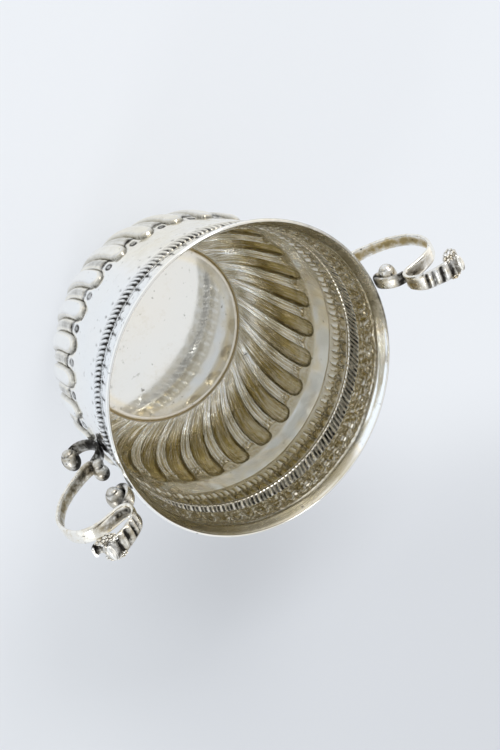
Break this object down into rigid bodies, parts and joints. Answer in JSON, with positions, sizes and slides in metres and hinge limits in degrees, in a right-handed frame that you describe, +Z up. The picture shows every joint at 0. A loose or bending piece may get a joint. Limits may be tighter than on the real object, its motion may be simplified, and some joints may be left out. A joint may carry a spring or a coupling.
{
  "type": "porringer",
  "caption": "Two-handled silver porringer: a swirl-lobed round bowl with a roped girdle and flared lip on a low foot, with cast scroll handles.",
  "frame": {"origin": "on the table, under the middle of the foot", "axes": "+Z up through the mouth of the bowl, +X out through the right handle"},
  "size_m": [0.1458, 0.1, 0.0903],
  "materials": {
    "raised_silver": "hand-polished silver, warm tarnish inside and in the chasing",
    "cast_silver": "cast and filed silver, dark in the recesses"
  },
  "bodies": {
    "root": {"bowl_body": "raised_silver", "foot_ring": "raised_silver", "right_handle_bar": "cast_silver", "right_thumb_leaf": "cast_silver", "right_lower_scroll": "cast_silver", "right_upper_scroll": "cast_silver", "left_handle_bar": "cast_silver", "left_thumb_leaf": "cast_silver", "left_lower_scroll": "cast_silver", "left_upper_scroll": "cast_silver"}
  },
  "joints": []
}
